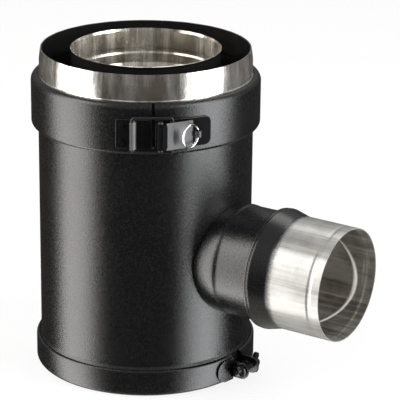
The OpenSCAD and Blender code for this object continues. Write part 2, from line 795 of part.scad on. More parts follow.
// The lever: a plate rolled round the pin, with cheeks for the bail, a boss and an eye at its end
module latch_lever() {
    boss_r = 3.6;
    boss_rise = 1.5;
    boss_half = 5.6;
    boss_side = pin_side + 12.4;
    boss_out = lever_face + boss_rise - boss_r;
    plate_start = pin_side + knuckle_r + 0.4;
    knuckle_half = lever_ear_z - 0.2;
    color([0.5, 0.5, 0.52])
    at_azimuth(lever_azimuth)
        translate([pin_out, pin_side, 0]) rotate([0, 0, lever_lean]) translate([-pin_out, -pin_side, 0])
        difference() {
            union() {
                post(pin_out, pin_side, knuckle_r, latch_z - knuckle_half, latch_z + knuckle_half);
                translate([lever_under, pin_side, latch_z - knuckle_half])
                    cube([lever_t, lever_len / 2, 2 * knuckle_half]);
                translate([lever_under, plate_start, latch_z - lever_h / 2])
                    cube([lever_t, lever_end_side - plate_start, lever_h]);
                for (s = [-1, 1])
                    translate([0, 0, latch_z + s * (lever_h / 2 - cheek_t / 2) - cheek_t / 2]) {
                        post(bail_out, bail_side, cheek_r, 0, cheek_t);
                        translate([bail_out, bail_side - cheek_r, 0])
                            cube([lever_under - bail_out + 0.2, 2 * cheek_r, cheek_t]);
                    }
                difference() {
                    post(boss_out, boss_side, boss_r, latch_z - boss_half, latch_z + boss_half);
                    translate([boss_out - boss_r - 1, boss_side - boss_r - 1, latch_z - boss_half - 1])
                        cube([lever_under + 0.2 - boss_out + boss_r + 1, 2 * boss_r + 2, 2 * boss_half + 2]);
                }
                translate([lever_under, lever_end_side - 1, latch_z - eye_h / 2])
                    cube([lever_t, eye_side - lever_end_side + 1, eye_h]);
                post(eye_out, eye_side, eye_r, latch_z - eye_h / 2, latch_z + eye_h / 2);
            }
            post(boss_out, boss_side, boss_r - lever_t,
                latch_z - boss_half + lever_t, latch_z + boss_half - lever_t);
            post(pin_out, pin_side, lever_pin_d / 2 + running, latch_z - plate_h, latch_z + plate_h);
            post(bail_out, bail_side, bail_r + running, latch_z - plate_h, latch_z + plate_h);
            post(eye_out, eye_side, eye_bore_r, latch_z - plate_h, latch_z + plate_h);
        }
}

// The bail: one bent wire, round the hook and into the lever's two cheeks
module wire_bail() {
    bend = 2.4;
    half = bail_h / 2;
    end_z = lever_h / 2 - cheek_t - 1.2;
    color([0.07, 0.07, 0.07])
    at_azimuth(lever_azimuth)
        translate([hook_out, hook_side, latch_z])
            rotate([0, 0, -bail_tilt]) {
                translate([0, 0, -half + bend]) cylinder(r = bail_r, h = 2 * (half - bend), $fn = 32);
                for (s = [-1, 1])
                    mirror([0, 0, s > 0 ? 0 : 1]) {
                        translate([0, bend, half - bend]) wire_bend(bend, 90);
                        translate([0, bend, half]) rotate([-90, 0, 0])
                            cylinder(r = bail_r, h = bail_reach - 2 * bend + 1, $fn = 32);
                        translate([0, bail_reach - bend + 1, half - bend + 1]) wire_bend(bend - 1, 0);
                        translate([0, bail_reach, end_z])
                            cylinder(r = bail_r, h = half - bend + 1 - end_z, $fn = 32);
                    }
            }
}

// A quarter turn of the bail's wire in the plane of side and height, from the angle start
module wire_bend(r, start) {
    rotate([90, 0, 90]) rotate([0, 0, start])
        rotate_extrude(angle = 90, $fn = 48) translate([r, 0]) circle(r = bail_r, $fn = 32);
}

// The split ring through the lever's eye: two turns of round wire, side by side
module split_ring() {
    turn = ring_wire_d * 0.48;
    color([0.8, 0.8, 0.78])
    at_azimuth(lever_azimuth)
        translate([eye_place[0], eye_place[1], latch_z])
            rotate([0, 0, ring_lean])
                translate([0, -ring_mean_r, 0]) rotate([0, 90, 0])
                    for (s = [-1, 1])
                        translate([0, 0, s * turn])
                            rotate_extrude() translate([ring_mean_r, 0]) circle(d = ring_wire_d, $fn = 24);
}

outer_casing();
top_collar();
liner();
branch_liner();
branch_neck();
branch_spigot();
upper_spacer(0);  // upper_spacer_1
upper_spacer(1);  // upper_spacer_2
upper_spacer(2);  // upper_spacer_3
lower_spacer(0);  // lower_spacer_1
lower_spacer(1);  // lower_spacer_2
lower_spacer(2);  // lower_spacer_3
cap_pan();
cap_cup();
cap_rivets();
clamp_band();
clamp_lug(-1);  // clamp_lug_left
clamp_lug(1);  // clamp_lug_right
clamp_screw();
clamp_washer();
wing_nut();
locking_band();
strike_plate();
strike_rivets();
latch_base();
latch_base_rivets();
lever_pin();
latch_lever();
wire_bail();
split_ring();
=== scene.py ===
"""Stove pipe tee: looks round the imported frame.

Lengths are in millimetres, and where a material uses them in metres.
"""
import json
import math

import bmesh
import bpy
from mathutils import Matrix, Vector


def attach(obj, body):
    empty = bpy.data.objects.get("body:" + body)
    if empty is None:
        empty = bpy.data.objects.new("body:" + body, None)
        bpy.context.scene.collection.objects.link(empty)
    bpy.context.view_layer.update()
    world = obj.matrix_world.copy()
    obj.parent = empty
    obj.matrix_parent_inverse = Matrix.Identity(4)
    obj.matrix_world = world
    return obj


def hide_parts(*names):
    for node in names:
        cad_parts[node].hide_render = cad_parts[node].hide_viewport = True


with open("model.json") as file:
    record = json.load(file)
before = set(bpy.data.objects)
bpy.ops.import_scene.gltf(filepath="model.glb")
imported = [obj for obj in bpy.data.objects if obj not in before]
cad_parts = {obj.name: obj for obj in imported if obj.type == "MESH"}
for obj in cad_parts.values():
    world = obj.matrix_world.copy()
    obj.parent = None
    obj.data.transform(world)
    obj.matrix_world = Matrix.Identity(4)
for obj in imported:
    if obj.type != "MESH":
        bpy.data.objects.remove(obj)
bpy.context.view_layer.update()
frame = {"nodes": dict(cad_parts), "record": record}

# Outer casing
# Rolled and seam-welded steel tube, swaged a little wider at both ends, with a round hole for
# the branch. Black powder coat is sprayed on it dry and baked, and has a fine grain all over.

MM = 0.001
TEE_H = 230.0
BRANCH_Z = 90.5
CREASE_DEG = 38
casing_r = 75.0
casing_wall = 0.8
swage_r = 76.2
casing_low = 8.6
casing_high = 194.2
hole_r = 35.8


def fillet(points, steps=6):
    """A path of (x, y) or (x, y, radius) corners with its corners rounded."""
    path = []
    for i, point in enumerate(points):
        here = Vector(point[:2])
        radius = point[2] if len(point) > 2 else 0
        if radius <= 0 or i in (0, len(points) - 1):
            path.append(here)
            continue
        before = (Vector(points[i - 1][:2]) - here).normalized()
        after = (Vector(points[i + 1][:2]) - here).normalized()
        half = before.angle(after) / 2
        reach = radius / math.tan(half)
        middle = here + (before + after).normalized() * (radius / math.sin(half))
        start, end = here + before * reach - middle, here + after * reach - middle
        turn = start.angle_signed(end)
        for step in range(steps + 1):
            path.append(middle + Matrix.Rotation(-turn * step / steps, 2) @ start)
    return path


def sheet_of(path, wall):
    """A closed outline: the path and the same path moved aside by wall (to its left if positive)."""
    inner = []
    for i, point in enumerate(path):
        side = Vector((0.0, 0.0))
        for a, b in ((i - 1, i), (i, i + 1)):
            if 0 <= a and b < len(path):
                run = (path[b] - path[a]).normalized()
                side += Vector((-run.y, run.x))
        side.normalize()
        inner.append(point + side * wall)
    return path + inner[::-1]


def finish_mesh(name, verts, faces, look, uvs=None, sharp=CREASE_DEG):
    """A mesh object in metres from millimetre points, shaded smooth between its sharp edges."""
    mesh = bpy.data.meshes.new(name)
    mesh.from_pydata([Vector(v) * MM for v in verts], [], faces)
    if uvs:
        layer = mesh.uv_layers.new(name="sheet")
        for loop in mesh.loops:
            layer.data[loop.index].uv = uvs[loop.vertex_index]
    bm = bmesh.new()
    bm.from_mesh(mesh)
    bmesh.ops.recalc_face_normals(bm, faces=bm.faces)
    bm.to_mesh(mesh)
    bm.free()
    mesh.shade_smooth()
    mesh.set_sharp_from_angle(angle=math.radians(sharp))
    mesh.materials.append(look)
    obj = bpy.data.objects.new(name, mesh)
    bpy.context.scene.collection.objects.link(obj)
    return obj


def lathe(name, outline, look, steps=256, start=0.0, sweep=360.0, along_x=False):
    """Turns a closed (radius, height) outline about Z, or about the branch axis."""
    verts, faces, uvs = [], [], []
    closed = sweep >= 360
    rings = steps if closed else steps + 1
    count = len(outline)
    for i in range(rings):
        angle = math.radians(start + sweep * i / steps)
        for k, (r, h) in enumerate(outline):
            x, y, z = r * math.cos(angle), r * math.sin(angle), h
            verts.append((z, x, y + BRANCH_Z) if along_x else (x, y, z))
            fold = abs(2 * i / steps - 1) if closed else i / steps
            uvs.append((fold * sweep / 360, h / TEE_H))
    for i in range(steps):
        for k in range(count):
            j, m = (i + 1) % rings, (k + 1) % count
            faces.append((i * count + k, j * count + k, j * count + m, i * count + m))
    if not closed:
        faces.append(tuple(range(count)))
        faces.append(tuple(range((rings - 1) * count, rings * count))[::-1])
    return finish_mesh(name, verts, faces, look, uvs)


def bar(radius, x0, x1, sides=160):
    """A solid bar along the branch axis."""
    middle = ((x0 + x1) / 2 * MM, 0, BRANCH_Z * MM)
    bpy.ops.mesh.primitive_cylinder_add(vertices=sides, radius=radius * MM, depth=(x1 - x0) * MM,
                                        location=middle, rotation=(0, math.pi / 2, 0))
    return bpy.context.object


def cut(obj, cutter):
    """Takes the cutter's shape out of obj and removes the cutter."""
    mod = obj.modifiers.new("cut", "BOOLEAN")
    mod.object = cutter
    mod.operation = "DIFFERENCE"
    mod.solver = "EXACT"
    bpy.context.view_layer.objects.active = obj
    bpy.ops.object.modifier_apply(modifier=mod.name)
    bpy.data.objects.remove(cutter)
    obj.data.shade_smooth()
    obj.data.set_sharp_from_angle(angle=math.radians(CREASE_DEG))


def new_group(name, inputs, outputs):
    """A shader node group with these sockets: (name, type, default)."""
    group = bpy.data.node_groups.new(name, "ShaderNodeTree")
    for title, kind, value in inputs:
        socket = group.interface.new_socket(name=title, in_out="INPUT", socket_type=kind)
        socket.default_value = value
    for title, kind in outputs:
        group.interface.new_socket(name=title, in_out="OUTPUT", socket_type=kind)
    return group, group.nodes.new("NodeGroupInput"), group.nodes.new("NodeGroupOutput")


def add(tree, kind, links=(), **values):
    """A node of that kind with its properties set; links are (input, source socket or constant)."""
    node = tree.nodes.new(kind)
    for key, value in values.items():
        setattr(node, key, value)
    for key, source in links:
        if isinstance(source, bpy.types.NodeSocket):
            tree.links.new(source, node.inputs[key])
        else:
            node.inputs[key].default_value = source
    return node


def noise(tree, where, scale, detail, roughness=0.5):
    """A noise that varies with the place."""
    node = add(tree, "ShaderNodeTexNoise",
               [("Vector", where), ("Scale", scale), ("Detail", detail), ("Roughness", roughness)])
    return node.outputs["Fac"]


def calc(tree, operation, *terms):
    """A sum, a product or the like of the terms."""
    return add(tree, "ShaderNodeMath", enumerate(terms), operation=operation).outputs[0]


def remap(tree, value, span, target, interpolation="LINEAR"):
    """The value carried from one (low, high) span to another, and held at its ends."""
    node = add(tree, "ShaderNodeMapRange",
               [("Value", value), ("From Min", span[0]), ("From Max", span[1]),
                ("To Min", target[0]), ("To Max", target[1])], interpolation_type=interpolation)
    return node.outputs[0]


def blend(tree, share, first, second, kind="MIX"):
    """The first colour with a share of the second mixed in, or multiplied on."""
    node = add(tree, "ShaderNodeMix", [("Factor", share), ("A", first), ("B", second)],
               data_type="RGBA", blend_type=kind)
    return node.outputs["Result"]


# Powder grain: fine pits, a roughness that varies, and small flecks
grain, grain_in, grain_out = new_group(
    "powder grain", [("Scale", "NodeSocketFloat", 1.0)],
    [("Height", "NodeSocketFloat"), ("Roughness", "NodeSocketFloat"), ("Fleck", "NodeSocketFloat")])
place = add(grain, "ShaderNodeTexCoord").outputs["Object"]
pit_scale = calc(grain, "MULTIPLY", grain_in.outputs["Scale"], 1300.0)
pits = noise(grain, place, scale=pit_scale, detail=2.0, roughness=0.6)
broad = noise(grain, place, scale=14.0, detail=3.0)
dots = noise(grain, place, scale=760.0, detail=1.0)
satin = remap(grain, broad, (0.3, 0.7), (0.25, 0.30))
sparkle = remap(grain, dots, (0.38, 0.62), (-0.018, 0.018))
grain.links.new(pits, grain_out.inputs["Height"])
grain.links.new(calc(grain, "ADD", satin, sparkle), grain_out.inputs["Roughness"])
grain.links.new(remap(grain, dots, (0.54, 0.68), (0.0, 1.0)), grain_out.inputs["Fleck"])


def material(name):
    """An empty procedural material: (material, tree, Principled BSDF)."""
    mat = bpy.data.materials.new(name)
    mat.use_nodes = True
    tree = mat.node_tree
    return mat, tree, tree.nodes["Principled BSDF"]


def use_group(tree, group, **values):
    """A group placed in a material with its own values."""
    node = tree.nodes.new("ShaderNodeGroup")
    node.node_tree = group
    for key, value in values.items():
        node.inputs[key].default_value = value
    return node


def bump(tree, shader, height, depth, strength=1.0):
    """Height, times depth in metres, bends the shader's normal."""
    node = add(tree, "ShaderNodeBump", [("Height", height), ("Distance", depth), ("Strength", strength)])
    tree.links.new(node.outputs["Normal"], shader.inputs["Normal"])


powder, tree, skin = material("powder coat")
coat = use_group(tree, grain, Scale=1.0)
tree.links.new(coat.outputs["Roughness"], skin.inputs["Roughness"])
flecked = blend(tree, coat.outputs["Fleck"], (0.0042, 0.0042, 0.0045, 1), (0.010, 0.010, 0.0105, 1))
tree.links.new(flecked, skin.inputs["Base Color"])
bump(tree, skin, coat.outputs["Height"], 0.00012)

casing_path = fillet([
    (swage_r + 1.0, casing_low), (swage_r, casing_low, 0.3), (swage_r, 19.4, 1.4), (casing_r, 21.4, 1.2),
    (casing_r, 179.5, 1.2), (swage_r, 181.3, 1.4), (swage_r, casing_high - casing_wall, 0.3),
    (78.2, casing_high - casing_wall)])
casing = lathe("casing", sheet_of(casing_path, casing_wall), powder, steps=320)
cut(casing, bar(hole_r, 40, 100))
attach(casing, "root")
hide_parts("outer_casing")

# Top collar
# A rolled stainless ring flanged at its foot and gripped by the band; the next casing slides
# over it. Its rim is turned in a little and its cut edge is bright; its inside carries painted shade,
# coloured near black.

collar_wall = 0.8
collar_r = 74.1
rim_from = 222
rim_lean = 0.13
cut_edge_z = 229.7
band_top = 212.0
under_skin = 0.6

# Rolled sheet: streaks along the rolling, slow dents, and a faint warm tint
rolled, rolled_in, rolled_out = new_group(
    "rolled sheet", [("Across", "NodeSocketFloat", 60.0), ("Along", "NodeSocketFloat", 1.5)],
    [("Color", "NodeSocketColor"), ("Roughness", "NodeSocketFloat"), ("Height", "NodeSocketFloat"),
     ("Blotch", "NodeSocketFloat")])
place = add(rolled, "ShaderNodeTexCoord")
stretch = add(rolled, "ShaderNodeCombineXYZ",
              [("X", rolled_in.outputs["Across"]), ("Y", rolled_in.outputs["Along"])])
scaled = add(rolled, "ShaderNodeVectorMath",
             [(0, place.outputs["UV"]), (1, stretch.outputs[0])], operation="MULTIPLY")
streak = noise(rolled, scaled.outputs[0], scale=1.0, detail=5.0, roughness=0.62)
dents = noise(rolled, place.outputs["Object"], scale=34.0, detail=2.5)
blotch = noise(rolled, place.outputs["Object"], scale=70.0, detail=4.0, roughness=0.6)
tint = add(rolled, "ShaderNodeValToRGB", [("Fac", calc(rolled, "MULTIPLY_ADD", blotch, 0.6, streak))])
dull, bright = tint.color_ramp.elements
dull.position = 0.66
dull.color = (0.33, 0.30, 0.25, 1)
bright.position = 0.90
bright.color = (0.80, 0.78, 0.74, 1)
rolled.links.new(tint.outputs[0], rolled_out.inputs["Color"])
rolled.links.new(remap(rolled, streak, (0.3, 0.7), (0.13, 0.24)), rolled_out.inputs["Roughness"])
rolled.links.new(calc(rolled, "MULTIPLY_ADD", streak, 0.25, dents), rolled_out.inputs["Height"])
rolled.links.new(blotch, rolled_out.inputs["Blotch"])

steel, tree, skin = material("rolled stainless")
sheet = use_group(tree, rolled, Across=24.0, Along=4.0)
film = remap(tree, sheet.outputs["Blotch"], (0.35, 0.65), (0.86, 0.97))
tree.links.new(film, skin.inputs["Metallic"])
tree.links.new(sheet.outputs["Color"], skin.inputs["Base Color"])
tree.links.new(sheet.outputs["Roughness"], skin.inputs["Roughness"])
bump(tree, skin, sheet.outputs["Height"], 0.0009, 0.5)

# painted shade: the sheet in the gap round the liner is coloured nearly black for the shade there
painted_shade_look, tree, skin = material("painted shade inside")
sheet = use_group(tree, rolled, Across=60.0, Along=1.0)
skin.inputs["Base Color"].default_value = (0.012, 0.0115, 0.011, 1)
tree.links.new(sheet.outputs["Roughness"], skin.inputs["Roughness"])

collar_path = fillet([
    (78.2, 194.3), (75.0, 194.3, 0.5), (75.0, 211.5, 0.5), (collar_r, 212.5, 0.5),
    (collar_r, 222.5, 6), (73.1, TEE_H)])
collar = lathe("collar", sheet_of(collar_path, collar_wall), steel, steps=320)
# painted shade on the collar's inside below its cut edge and on its foot under the band
collar.data.materials.append(painted_shade_look)
for face in collar.data.polygons:
    middle = face.center
    turned_in = max(0.0, middle.z / MM - rim_from) * rim_lean
    inside = math.hypot(middle.x, middle.y) < (collar_r - under_skin - turned_in) * MM
    if inside and middle.z < cut_edge_z * MM or middle.z < band_top * MM:
        face.material_index = 1
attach(collar, "root")
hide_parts("top_collar")

# Flue liner
# The inner stainless tube, expanded at the top into a socket for the next liner, with a
# rolled gasket bead, a sloping shoulder at the socket's foot and a slightly flared lip.

liner_wall = 0.6
outward_share = 0.3
lip_from = 229.3

liner_steel, tree, skin = material("liner stainless")
sheet = use_group(tree, rolled, Across=22.0, Along=2.6)
brown = blend(tree, 1.0, sheet.outputs["Color"], (0.96, 0.95, 0.93, 1), kind="MULTIPLY")
tree.links.new(brown, skin.inputs["Base Color"])
skin.inputs["Metallic"].default_value = 0.86
worn = calc(tree, "ADD", sheet.outputs["Roughness"], 0.06)
tree.links.new(worn, skin.inputs["Roughness"])
bump(tree, skin, sheet.outputs["Height"], 0.0009, 0.4)

liner_path = fillet([
    (50.6, 14.0), (50.6, 201.5, 1.5), (51.9, 204.5, 1.5), (51.9, 211.0, 0.8), (52.8, 212.2, 0.8),
    (52.8, 214.6, 0.8), (51.9, 215.8, 0.8), (51.9, 227.6, 1.5), (52.4, 229.5)])
liner = lathe("flue_liner", sheet_of(liner_path, liner_wall), liner_steel, steps=256)
cut(liner, bar(hole_r, 20, 70, sides=128))
# painted shade on the liner's outer face below its lip, in the gap under the collar
liner.data.materials.append(painted_shade_look)
for face in liner.data.polygons:
    middle = face.center
    away = middle.x * face.normal.x + middle.y * face.normal.y
    if away > outward_share * math.hypot(middle.x, middle.y) and middle.z < lip_from * MM:
        face.material_index = 1
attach(liner, "root")
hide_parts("liner")

# Locking band
# A wide black C-section that clamps the flanges of casing and collar together.
# Its shoulders are rolled round, and it is split behind the latch.

LATCH_AZ = -51.3
split_half = 0.65
band_wall = 1.0
band_path = fillet([
    (76.6, 176.5), (79.9, 176.5, 2.6), (79.9, 212.0, 4.6), (75.15, 212.0)], steps=10)
band = lathe("upper_band", sheet_of(band_path, band_wall), powder, steps=300,
             start=LATCH_AZ + split_half, sweep=360 - 2 * split_half)
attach(band, "root")
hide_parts("locking_band")

# Clamp band
# The narrow C-section round the joint of casing and cap, powder coated as the upper band is.
# It stays open between its two lugs.

clamp_half = 3.8
foot_path = fillet([
    (75.4, 0.5), (78.4, 0.5, 2.8), (78.4, 19.5, 1.7), (76.6, 19.5)], steps=8)
foot_band = lathe("lower_band", sheet_of(foot_path, band_wall), powder, steps=300,
                  start=clamp_half, sweep=360 - 2 * clamp_half)
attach(foot_band, "root")
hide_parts("clamp_band")

# Branch neck
# A painted sleeve with a shallow bead, and a root that narrows down onto the casing, where it
# is trimmed to the casing's round and welded; the sprayed coat leaves a thin crease there.

neck_line = [(60.0, 35.06), (65.5, 36.6), (70.0, 37.78), (75.0, 38.66), (79.0, 39.1), (82.0, 39.2),
             (83.0, 39.12), (84.5, 38.8), (86.0, 38.7), (117.0, 38.7)]


def neck_radius(x):
    """The neck's radius at a distance from the flue axis, eased between the points of its line."""
    for k in range(len(neck_line) - 1):
        (x0, r0), (x1, r1) = neck_line[k], neck_line[k + 1]
        if x <= x1:
            before = neck_line[max(k - 1, 0)]
            after = neck_line[min(k + 2, len(neck_line) - 1)]
            m0 = (r1 - before[1]) / (x1 - before[0]) * (x1 - x0)
            m1 = (after[1] - r0) / (after[0] - x0) * (x1 - x0)
            t = max(0.0, (x - x0) / (x1 - x0))
            return ((2 * t ** 3 - 3 * t * t + 1) * r0 + (t ** 3 - 2 * t * t + t) * m0
                    + (3 * t * t - 2 * t ** 3) * r1 + (t ** 3 - t * t) * m1)
    return neck_line[-1][1]


verts, faces, uvs = [], [], []
around = 224
neck_t = 0.8
crease = 0.3
straight_from = 87.0
straight_r = 38.7
neck_end = 117.0
off_casing = 0.02
tries = 12
for i in range(around):
    turn = 2 * math.pi * i / around
    # where the root meets the casing's round, found by trying again with the radius it has there
    foot_x = 70.0
    for _ in range(tries):
        foot_x = math.sqrt((casing_r + off_casing) ** 2 - (neck_radius(foot_x) * math.cos(turn)) ** 2)
    foot_r = neck_radius(foot_x)
    bend_x = foot_x + crease
    row = [(foot_x, foot_r - crease), (foot_x + crease * 0.3, foot_r - crease * 0.3),
           (bend_x, neck_radius(bend_x))]
    row += [(bend_x + (straight_from - bend_x) * k / 24, 0) for k in range(1, 25)]
    row = [(x, r or neck_radius(x)) for x, r in row] + [(100.0, straight_r), (neck_end, straight_r)]
    row += [(x, r - neck_t) for x, r in reversed(row[2:])]
    for x, r in row:
        verts.append((x, r * math.cos(turn), BRANCH_Z + r * math.sin(turn)))
        uvs.append((i / around, x / TEE_H))
    per = len(row)
for i in range(around):
    for k in range(per):
        j, m = (i + 1) % around, (k + 1) % per
        faces.append((i * per + k, j * per + k, j * per + m, i * per + m))
neck = finish_mesh("neck_sleeve", verts, faces, powder, uvs)
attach(neck, "root")
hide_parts("branch_neck")

# Branch spigot
# A stainless reducer: its bell sits over the neck, its plain end takes the connecting pipe.
# The bell was sprayed with the casing, and the spray fades out over the start of the spigot.

spigot_wall = 0.7
paint_full = 0.1275
paint_gone = 0.1312
ragged_by = 0.0034
inner_r = 38.75
drawn_from = 118

spigot_path = fillet([
    (38.85, 109.0), (42.0, 109.0, 0.75), (42.0, 110.6, 0.3), (41.75, 111.1, 0.5), (42.3, 112.3, 0.9),
    (42.25, 113.3, 6.0), (39.3, 124.6, 9.0), (39.2, 156.2, 0.8),
    (38.9, 157.6, 0.8), (38.9, 158.8, 0.8), (39.2, 160.2, 0.8), (39.2, 165.7)], steps=8)

part_painted, tree, skin = material("painted spigot")
sheet = use_group(tree, rolled, Across=30.0, Along=1.2)
coat = use_group(tree, grain, Scale=1.0)
place = add(tree, "ShaderNodeTexCoord").outputs["Object"]
axes = add(tree, "ShaderNodeSeparateXYZ", [("Vector", place)])
spray = noise(tree, place, scale=900.0, detail=2.0)
ragged = calc(tree, "MULTIPLY_ADD", spray, ragged_by, axes.outputs["X"])
paint = remap(tree, ragged, (paint_full, paint_gone), (1.0, 0.0))
even = blend(tree, 0.5, sheet.outputs["Color"], (0.72, 0.71, 0.685, 1))
cool = blend(tree, 1.0, even, (0.54, 0.552, 0.56, 1), kind="MULTIPLY")
painted = blend(tree, paint, cool, (0.0045, 0.0045, 0.0048, 1))
tree.links.new(painted, skin.inputs["Base Color"])
tree.links.new(remap(tree, paint, (0.0, 1.0), (0.5, 0.0)), skin.inputs["Metallic"])
brushed = calc(tree, "MULTIPLY_ADD", sheet.outputs["Roughness"], 1.3, 0.08)
rough = add(tree, "ShaderNodeMix", [("Factor", paint), ("A", brushed), ("B", coat.outputs["Roughness"])],
            data_type="FLOAT")
tree.links.new(rough.outputs["Result"], skin.inputs["Roughness"])
bump(tree, skin, sheet.outputs["Height"], 0.0006, 0.25)
spigot = lathe("spigot", sheet_of(spigot_path, spigot_wall), part_painted, steps=256, along_x=True)

# inside, the drawn sheet is duller, with a painted reflection, a bright glowing slanting line
# where the mouth mirrors itself: x = line_from + line_across * y + line_up * (z - BRANCH_Z)
line_across = 0.941
line_up = -0.421
line_from = 0.11189
line_half = 0.00225
painted_glow_centre = 0.008
bore_and_painted_reflection_look, tree, skin = material("bore with painted reflection")
sheet = use_group(tree, rolled, Across=40.0, Along=0.8)
place = add(tree, "ShaderNodeTexCoord").outputs["Object"]
centred = add(tree, "ShaderNodeVectorMath",
              [(0, place), (1, (line_from, 0.0, BRANCH_Z * MM))], operation="SUBTRACT")
beside = add(tree, "ShaderNodeVectorMath",
             [(0, centred.outputs[0]), (1, (1.0, -line_across, -line_up))], operation="DOT_PRODUCT")
off_painted_reflection = calc(tree, "ABSOLUTE", beside.outputs["Value"])
on_painted_reflection = remap(tree, off_painted_reflection, (0.0, line_half), (1.0, 0.0), interpolation="SMOOTHSTEP")
# painted highlight: the sheet's colour turns light along the line
bore_colour_with_painted_line = blend(tree, on_painted_reflection, sheet.outputs["Color"], (0.75, 0.73, 0.69, 1))
tree.links.new(bore_colour_with_painted_line, skin.inputs["Base Color"])
tree.links.new(remap(tree, on_painted_reflection, (0.0, 1.0), (0.85, 0.0)), skin.inputs["Metallic"])
skin.inputs["Roughness"].default_value = 0.27
heights = add(tree, "ShaderNodeSeparateXYZ", [("Vector", centred.outputs[0])])
# painted glow: the line gives off light, most near its middle
from_centre = calc(tree, "ABSOLUTE", calc(tree, "ADD", heights.outputs["Z"], painted_glow_centre))
painted_glow_fade = remap(tree, from_centre, (0.003, 0.022), (0.42, 0.0))
painted_glow = blend(tree, calc(tree, "MULTIPLY", on_painted_reflection, painted_glow_fade), (0.0, 0.0, 0.0, 1), bore_colour_with_painted_line)
tree.links.new(painted_glow, skin.inputs["Emission Color"])
skin.inputs["Emission Strength"].default_value = 1.0
ridge = calc(tree, "MULTIPLY_ADD", sheet.outputs["Height"], 0.9, on_painted_reflection)
bump(tree, skin, ridge, 0.0008, 1.0)
spigot.data.materials.append(bore_and_painted_reflection_look)
for face in spigot.data.polygons:
    middle = face.center
    from_axis = math.hypot(middle.y, middle.z - BRANCH_Z * MM)
    if from_axis < inner_r * MM and middle.x > drawn_from * MM:
        face.material_index = 1
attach(spigot, "root")
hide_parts("branch_spigot")

# Latch plates
# Two curved steel plates riveted to the band, gloss black: the strike plate with its hook on
# one side of the split, and the base with the lever's hinge ears on the other.

LATCH_Z = 191.5
LEVER_AZ = LATCH_AZ + 10
PLATE_IN = 79.95
PLATE_T = 1.15
HALF_PLATE = 10
PRESSED_DEG = 35


def one_colour(name, color, roughness, metallic=0.0, specular=0.5, pits=None):
    """A finish of one colour; pits are the scale of its grain and their depth in metres."""
    look, tree, skin = material(name)
    skin.inputs["Base Color"].default_value = (*color, 1)
    skin.inputs["Roughness"].default_value = roughness
    skin.inputs["Metallic"].default_value = metallic
    skin.inputs["Specular IOR Level"].default_value = specular
    if pits:
        coat = use_group(tree, grain, Scale=pits[0])
        bump(tree, skin, coat.outputs["Height"], pits[1])
    return look


# gloss paint, kept nearly without sheen on the plates' faces, and a lighter copy with full sheen on their
# rounded edges: a painted highlight along the rims
gloss = one_colour("gloss black", (0.006, 0.006, 0.0065), 0.3, specular=0.012, pits=(0.5, 0.00003))
edge_painted_highlight = one_colour("gloss edge painted highlight", (0.02, 0.02, 0.021), 0.3, specular=0.6)


def round_edges(obj, width):
    """Rounds the sharp edges, as a press leaves them."""
    soften = obj.modifiers.new("edge", "BEVEL")
    soften.width = width * MM
    soften.segments = 2
    soften.limit_method = "ANGLE"
    soften.angle_limit = math.radians(40)
    soften.harden_normals = True
    return soften


def plate(name, outline, inner_r, wall, azimuth, look, columns=40, bevel=0.25):
    """A plate on the band from a 2D outline in (side, height), thick outwards, bent round the axis."""
    bm = bmesh.new()
    ring = [bm.verts.new((0, s, h)) for s, h in outline]
    bm.faces.new(ring)
    low, high_s = min(s for s, h in outline), max(s for s, h in outline)
    for i in range(1, columns):
        s = low + (high_s - low) * i / columns
        geom = bm.verts[:] + bm.edges[:] + bm.faces[:]
        bmesh.ops.bisect_plane(bm, geom=geom, plane_co=(0, s, 0), plane_no=(0, 1, 0))
    made = bmesh.ops.extrude_face_region(bm, geom=bm.faces[:])
    for v in made["geom"]:
        if isinstance(v, bmesh.types.BMVert):
            v.co.x += wall
    for v in bm.verts:
        r, angle = inner_r + v.co.x, math.radians(azimuth) + v.co.y / inner_r
        v.co = Vector((r * math.cos(angle), r * math.sin(angle), v.co.z)) * MM
    bmesh.ops.recalc_face_normals(bm, faces=bm.faces)
    mesh = bpy.data.meshes.new(name)
    bm.to_mesh(mesh)
    bm.free()
    mesh.materials.append(look)
    # the rounded edges take the painted highlight of the black paint
    mesh.materials.append(edge_painted_highlight if look == gloss else look)
    obj = bpy.data.objects.new(name, mesh)
    bpy.context.scene.collection.objects.link(obj)
    mesh.shade_smooth()
    mesh.set_sharp_from_angle(angle=math.radians(PRESSED_DEG))
    round_edges(obj, bevel).material = 1
    return obj


def rounded(x0, x1, y0, y1, radii, steps=6):
    """A rectangle's outline; radii go round from the low corner: (x0,y0) (x1,y0) (x1,y1) (x0,y1)."""
    corners = [(x0, y0, radii[0]), (x1, y0, radii[1]), (x1, y1, radii[2]), (x0, y1, radii[3])]
    out = []
    for i, (x, y, r) in enumerate(corners):
        cx, cy = (x + r, x - r, x - r, x + r)[i], (y + r, y + r, y - r, y - r)[i]
        if r <= 0:
            out.append((x, y))
            continue
        for k in range(steps + 1):
            a = math.radians(180 + 90 * i + 90 * k / steps)
            out.append((cx + r * math.cos(a), cy + r * math.sin(a)))
    return out


low_z, high_z = LATCH_Z - HALF_PLATE, LATCH_Z + HALF_PLATE
strike = plate("strike", rounded(-25.0, -1.3, low_z, high_z, (1.5, 0.6, 0.6, 1.5)),
               PLATE_IN, PLATE_T, LATCH_AZ, gloss)
base = plate("base_plate", rounded(1.3, 40.2, low_z, high_z, (0.8, 4.4, 4.4, 0.8)),
             PLATE_IN, PLATE_T, LATCH_AZ, gloss)


def local(out, side, azimuth, z=0.0):
    """A point from its distance out and to the side of an azimuth, to the part frame."""
    a = math.radians(azimuth)
    return Vector((out * math.cos(a) - side * math.sin(a), out * math.sin(a) + side * math.cos(a), z))


def prism_faces(count):
    """The faces between two outlines of count points that follow each other."""
    faces = [tuple(range(count)), tuple(range(count, 2 * count))[::-1]]
    return faces + [(k, (k + 1) % count, count + (k + 1) % count, count + k) for k in range(count)]


